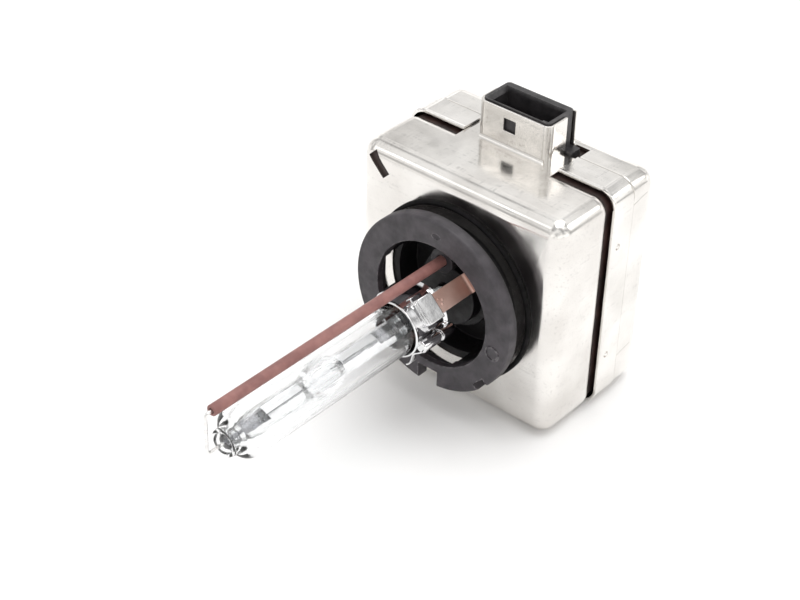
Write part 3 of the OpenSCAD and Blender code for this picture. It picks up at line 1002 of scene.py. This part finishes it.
def make_base():
    """The turned moulding and its cuts."""
    chamfer = 0.3
    outline = [(hole_r, face_y), (flange_r - chamfer, face_y), (flange_r, face_y + chamfer),
               (flange_r, land_back_y), (neck_r, land_back_y), (neck_r, cup_back_y),
               (bore_r, cup_back_y), (bore_r, cup_floor_y), (neck_in_r, cup_floor_y),
               (neck_in_r, land_back_y), (hole_r, land_back_y)]
    base = finished("lamp_base", turn_tool(eased(outline, 0.16), steps=144))
    tower_line = [(bore_r, 3.4), (tower_r, 3.4), (tower_r, 5.8), (tower_foot_r, 5.8),
                  (tower_foot_r, cup_floor_y + 0.4), (bore_r, cup_floor_y + 0.4)]
    combine(base, turn_tool(eased(tower_line, 0.2), steps=72), "UNION")
    boss_line = [(1.05, 1.6), (2.3, 1.6), (2.3, cup_floor_y + 0.4), (1.05, cup_floor_y + 0.4)]
    combine(base, turn_tool(eased(boss_line, 0.15), z=sleeve_z, steps=36), "UNION")
    half_window = 4.3
    outside_r, window_in_r = 19, 7.5
    back, step_y, relief_y = front_y + 0.3, land_back_y + 0.03, 0.3
    stepped = [(-outside_r, step_y), (-neck_in_r, step_y), (-neck_in_r, relief_y),
               (-window_in_r, relief_y), (-window_in_r, back), (-outside_r, back)]
    for angle in (0, -90):
        tool = bmesh.new()
        extruded(tool, [(x, y, -half_window) for x, y in stepped], (0, 0, 2 * half_window))
        turned = Matrix.Rotation(math.radians(angle), 4, "Y")
        bmesh.ops.transform(tool, matrix=turned, verts=tool.verts)
        combine(base, tool)
    notches = bmesh.new()
    key_half, key_floor_r = 2.1, 13.2
    block(notches, (-key_half, face_y - 1, -flange_r - 1), (key_half, land_back_y + 1, -key_floor_r))
    small_key_half, small_key_floor_r, small_key_angle = 1.4, 15.1, math.radians(44.5)
    side = Matrix.Rotation(small_key_angle, 4, "Y")
    block(notches, (small_key_floor_r, face_y - 1, -small_key_half),
          (18, land_back_y + 1, small_key_half), side)
    oval = bmesh.ops.create_icosphere(notches, subdivisions=3, radius=0.6)["verts"]
    bmesh.ops.scale(notches, vec=(1.5, 0.6, 0.9), verts=oval)
    bmesh.ops.translate(notches, vec=(0.6, face_y, 13.9), verts=oval)
    combine(base, notches)
    mark_in_r, mark_out_r, mark_x, mark_z = 1.1, 1.4, 13.4, -3.4
    mark_line = [(mark_in_r, face_y - 0.16), (mark_out_r, face_y - 0.16),
                 (mark_out_r, face_y + 0.2), (mark_in_r, face_y + 0.2)]
    combine(base, turn_tool(mark_line, x=mark_x, z=mark_z, steps=36), "UNION")
    base.data.set_sharp_from_angle(angle=math.radians(20))
    return base


dress(make_base(), black_plastic, "black_plastic", "base_body")

# %% [markdown]
# ## Seal
# A thin rubber ring lies on the shield round the neck. It is turned from a rectangle with its front
# corners taken off.

# %% Seal
seal_low, seal_high = corners("seal_ring")


def make_seal():
    """The turned rubber ring."""
    outer, inner = seal_high.x, seal_high.x - 0.8
    outline = [(inner, seal_high.y), (inner, seal_low.y + 0.2), (inner + 0.2, seal_low.y),
               (outer - 0.25, seal_low.y), (outer, seal_low.y + 0.25), (outer, seal_high.y)]
    seal = finished("seal", turn_tool(outline, steps=144))
    soften(seal, 0.08)
    return seal


dress(make_seal(), seal_rubber, "seal_rubber", "seal_ring")

# %% [markdown]
# ## Outer glass
# The outer bulb is a tube of clear quartz, drawn down to an open stub at its tip and sealed to the
# stem at its back. It is turned from an outline of its wall, inside and outside, so light bends at
# both faces as it does in real glass.

# %% Outer glass
glass_low, glass_high = corners("outer_bulb")
tip_y = glass_low.y
glass_r = glass_high.x
wall = 0.9
stem_r = 1.9
stub_r = 2.55
stub_wall = 0.85
shoulder_r = 3.1
stem_out_r = 2.7
seal_back_y = 0.6


def make_outer_glass():
    """The drawn-down tube as a closed wall."""
    shoulder = arc(0, 0, 1, 0, 90, 8)
    outside = [(stub_r - 0.15, tip_y), (stub_r, tip_y + 0.15), (stub_r, tip_y + 1.3),
               (2.65, tip_y + 1.7), (shoulder_r, tip_y + 2.1)]
    outside += [(shoulder_r + (glass_r - shoulder_r) * s, tip_y + 4.2 - 2.0 * c)
                for c, s in shoulder]
    outside += [(glass_r, -3.6), (glass_r - 0.25, -2.7), (glass_r - 0.8, -1.8), (3.0, -1.0),
                (stem_out_r, -0.4), (stem_out_r, seal_back_y)]
    inner_r = glass_r - wall
    inside = [(stem_r + 0.04, seal_back_y), (stem_r + 0.04, -1.3), (inner_r - 0.6, -2.3),
              (inner_r, -3.9), (inner_r, tip_y + 5.2), (inner_r - 0.4, tip_y + 4.0),
              (2.7, tip_y + 3.2), (stub_r - stub_wall, tip_y + 2.4),
              (stub_r - stub_wall, tip_y + 0.15), (stub_r - stub_wall + 0.15, tip_y)]
    glass = finished("outer_glass_tube", turn_tool(outside + inside, steps=96))
    smooth = glass.modifiers.new("smooth", "SUBSURF")
    smooth.levels = 1
    smooth.render_levels = 1
    return glass


dress(make_outer_glass(), outer_glass, "outer_glass", "outer_bulb")

# %% [markdown]
# ## Arc tube
# Inside is the arc tube, a small quartz bulb between two solid stems, turned as one and then
# hollowed. The stems hold a thin molybdenum foil each, the seal between wire and quartz.

# %% Arc tube
tube_back_y = corners("arc_tube")[1].y
foil_low, foil_high = corners("front_foil")
back_foil_low, back_foil_high = corners("rear_foil")
arc_y = (foil_high.y + back_foil_low.y) / 2
tail_r = 1.35
bulge_r, bulge_half = 3.0, 5.2
hollow_r, hollow_half = 1.35, 3.9


def make_arc_tube():
    """The stems and the bulb, with the hollow inside it."""
    outline = [(0, tip_y + 0.4), (tail_r - 0.15, tip_y + 0.4), (tail_r, tip_y + 0.6),
               (tail_r, arc_y - 18.6),
               (stem_r - 0.15, arc_y - 17.7), (stem_r, arc_y - 17.0), (stem_r, arc_y - 4.9)]
    outline += arc(0, arc_y, bulge_r, -50, 50, 10, bulge_half)
    outline += [(stem_r, arc_y + 4.9), (stem_r, tube_back_y), (0, tube_back_y)]
    tube = finished("arc_tube_quartz", turn_tool(outline, steps=64, closed=False))
    hollow = arc(0, arc_y, hollow_r, -90, 90, 18, hollow_half)
    combine(tube, turn_tool(hollow, steps=48, closed=False))
    return tube


def make_foil(name, low, high):
    """A thin foil, thinned to a feather edge along both sides."""
    bm = bmesh.new()
    block(bm, low, high)
    long_edges = [e for e in bm.edges if abs(e.verts[0].co.y - e.verts[1].co.y) > 1]
    bmesh.ops.bevel(bm, geom=long_edges, offset=0.025, affect="EDGES", segments=2, profile=0.5,
                    material=-1)
    return finished(name, bm)


dress(make_arc_tube(), quartz, "quartz", "arc_tube")
dress(make_foil("front_seal_foil", foil_low, foil_high), molybdenum, "molybdenum", "front_foil")
dress(make_foil("rear_seal_foil", back_foil_low, back_foil_high), molybdenum, "molybdenum",
      "rear_foil")

# %% [markdown]
# ## Sleeve and return wire
# The return wire runs beside the bulb inside a ceramic sleeve, turns down in front of the tip and
# runs back into the stub. The sleeve is turned with a chamfered mouth. The wire is a curve with
# round bends, made a mesh so that it lies at the origin like the other pieces.

# %% Sleeve and wire
sleeve_low, sleeve_high = corners("ceramic_sleeve")
wire_low, wire_high = corners("return_wire")
wire_r = 0.3
sleeve_r = sleeve_high.x


def make_sleeve():
    """The ceramic tube on the wire."""
    bore = wire_r + 0.12
    outline = [(bore, sleeve_low.y + 0.15), (bore + 0.12, sleeve_low.y),
               (sleeve_r - 0.15, sleeve_low.y), (sleeve_r, sleeve_low.y + 0.15),
               (sleeve_r, sleeve_high.y), (bore, sleeve_high.y)]
    sleeve = finished("sleeve", turn_tool(outline, z=sleeve_z, steps=48))
    soften(sleeve, 0.05)
    return sleeve


def rod_along(name, points, radius):
    """A round wire along a line of points."""
    curve = bpy.data.curves.new(name, "CURVE")
    curve.dimensions = "3D"
    curve.bevel_depth = radius * MM
    curve.bevel_resolution = 4
    curve.use_fill_caps = True
    spline = curve.splines.new("POLY")
    spline.points.add(len(points) - 1)
    for spot, point in zip(spline.points, points):
        spot.co = (*[c * MM for c in point], 1)
    drawn = linked(name + "_line", curve)
    bpy.context.view_layer.update()
    mesh = bpy.data.meshes.new_from_object(drawn.evaluated_get(
        bpy.context.evaluated_depsgraph_get()))
    bpy.data.objects.remove(drawn)
    mesh.name = name
    mesh.shade_smooth()
    return linked(name, mesh)


def make_wire():
    """Out of the sleeve, down in front of the tip, and back to the lead."""
    front = wire_low.y + wire_r
    bend = 0.8
    upper = arc(front + bend, sleeve_z - bend, bend, 90, 180, 8)
    lower = arc(front + bend, bend, bend, 180, 270, 8)
    line = [(wire_high.y, sleeve_z)] + upper + lower + [(tip_y, 0)]
    return rod_along("return_wire_bent", [(0, y, z) for y, z in line], wire_r)


dress(make_sleeve(), sleeve_ceramic, "sleeve_ceramic", "ceramic_sleeve")
dress(make_wire(), wire_metal, "wire_metal", "return_wire")

# %% [markdown]
# ## Lugs
# Two lugs of copper-plated strip carry the clip. Each runs along the glass and bends outwards to the
# neck. They are folded from a line with a rounded bend, and two weld pips stand near the front end.

# %% Lugs
lug_r = 6.3
lug_t = 0.4
lug_w = 3.6
lug_front_y = -8.1
lug_back_y = 3.2
lug_angles = (45, 225)
weld_pips = ((-0.5, -4.4), (0.5, -4.1), (-0.1, -3.6))
pip_r = 0.28


def make_lugs():
    """Both strips with their weld pips."""
    bm = bmesh.new()
    bend = 0.9
    mid_r = lug_r + lug_t / 2
    corner = arc(lug_back_y - lug_t / 2 - bend, mid_r + bend, bend, -90, 0, 8)
    line = [(lug_front_y, mid_r)] + corner + [(lug_back_y - lug_t / 2, neck_in_r - 0.2)]
    for angle in lug_angles:
        spin = Matrix.Rotation(math.radians(90 - angle), 4, "Y")
        made = fold(bm, line, lug_t, "x", -lug_w / 2, lug_w / 2)
        bmesh.ops.transform(bm, matrix=spin, verts=made)
        for pip_x, pip_y in weld_pips:
            pip = bmesh.ops.create_icosphere(bm, subdivisions=2, radius=pip_r)["verts"]
            bmesh.ops.scale(bm, vec=(1, 1, 0.5), verts=pip)
            bmesh.ops.translate(bm, vec=(pip_x, pip_y, lug_r + lug_t), verts=pip)
            bmesh.ops.transform(bm, matrix=spin, verts=pip)
    lugs = finished("lug_strips", bm)
    soften(lugs, 0.06)
    return lugs


dress(make_lugs(), lug_metal, "lug_metal", "support_lugs")

# %% [markdown]
# ## Clip
# The clip is one strip of thin polished spring steel round the glass. On each side it has a raised
# bridge that grips a lug, a rolled bead with a slit, and a springy curl that ends free. The sleeve
# and the beads are turned, the bridges are sloped blocks, and the curls are folded.

# %% Clip
clip_front_y = corners("burner_clip")[0].y
clip_back_y = -2.9
clip_t = 0.25
clip_r = glass_r + 0.2


def ring_point(angle, radius):
    """A point across the axis, as (x, z)."""
    return (radius * math.cos(math.radians(angle)), radius * math.sin(math.radians(angle)))


def make_band():
    """The sleeve of the clip with a rolled front rim and a flared back."""
    outside = [(clip_r + 0.1, clip_front_y - 0.02), (clip_r + 0.42, clip_front_y + 0.1),
               (clip_r + 0.32, clip_front_y + 0.45), (clip_r + clip_t, clip_front_y + 0.7),
               (clip_r + clip_t, clip_back_y - 0.9), (clip_r + 0.45, clip_back_y - 0.3),
               (clip_r + 0.75, clip_back_y)]
    inside = [(clip_r + 0.5, clip_back_y + 0.02), (clip_r + 0.2, clip_back_y - 0.35),
              (clip_r, clip_back_y - 0.9), (clip_r, clip_front_y + 0.3)]
    return finished("clip_band", turn_tool(outside + inside, steps=96))


def make_bridges():
    """The pressed bridges over the lugs, with two fine steps at the front."""
    bm = bmesh.new()
    low_r = clip_r + 0.1
    for angle in lug_angles:
        spin = Matrix.Rotation(math.radians(90 - angle), 4, "Y")
        for half, height, start, end in ((2.35, 6.9, -8.4, -5.4), (2.2, 6.75, -8.75, -8.3),
                                         (2.05, 6.55, -9.1, -8.6)):
            bridge = block(bm, (-half, start, low_r - 0.4), (half, end, height))
            for vert in bridge:
                if vert.co.z > low_r:
                    vert.co.z += 0.17 * (vert.co.y - start)
            bmesh.ops.transform(bm, matrix=spin, verts=bridge)
        block(bm, (-3.1, -8.2, low_r - 0.9), (3.1, -5.6, low_r + 0.35), spin)
    return finished("clip_bridges", bm)


def make_beads():
    """The rolled beads beside the bridges, each with a slit and a domed end."""
    bm = bmesh.new()
    bead_r, slit_r, centre_r = 1.05, 0.7, 5.9
    for angle in (-8, 172):
        x, z = ring_point(angle, centre_r)
        dome = arc(0, clip_back_y + 0.2, bead_r, 0, 90, 6, 0.8)
        front = [(0, clip_front_y + 0.1), (bead_r - 0.2, clip_front_y + 0.1),
                 (bead_r, clip_front_y + 0.3), (bead_r, -6.2), (slit_r, -6.1), (slit_r, -5.5),
                 (bead_r, -5.4)]
        turn(bm, front + dome, x=x, z=z, steps=32, closed=False)
    return finished("clip_beads", bm)


def make_curls():
    """The springs that end free, waved once along the glass."""
    bm = bmesh.new()
    first, wave_degrees = 8, 54
    mean_r, wave_height = 5.85, 0.6
    wave = 2 * math.pi / wave_degrees
    for start in (0, 180):
        line = [ring_point(start - a, mean_r + wave_height * math.cos(wave * (a - first)))
                for a in range(first, 66, 2)]
        fold(bm, line, clip_t, "y", clip_front_y + 0.1, clip_front_y + 1.3)
    return finished("clip_curls", bm)


clip = make_band()
soften(clip, 0.05)
dress(clip, clip_metal, "clip_metal", "burner_clip")
for part, rounding in ((make_bridges(), 0.2), (make_beads(), 0.05), (make_curls(), 0.05)):
    soften(part, rounding, 3)
    dress(part, clip_metal, "clip_metal")
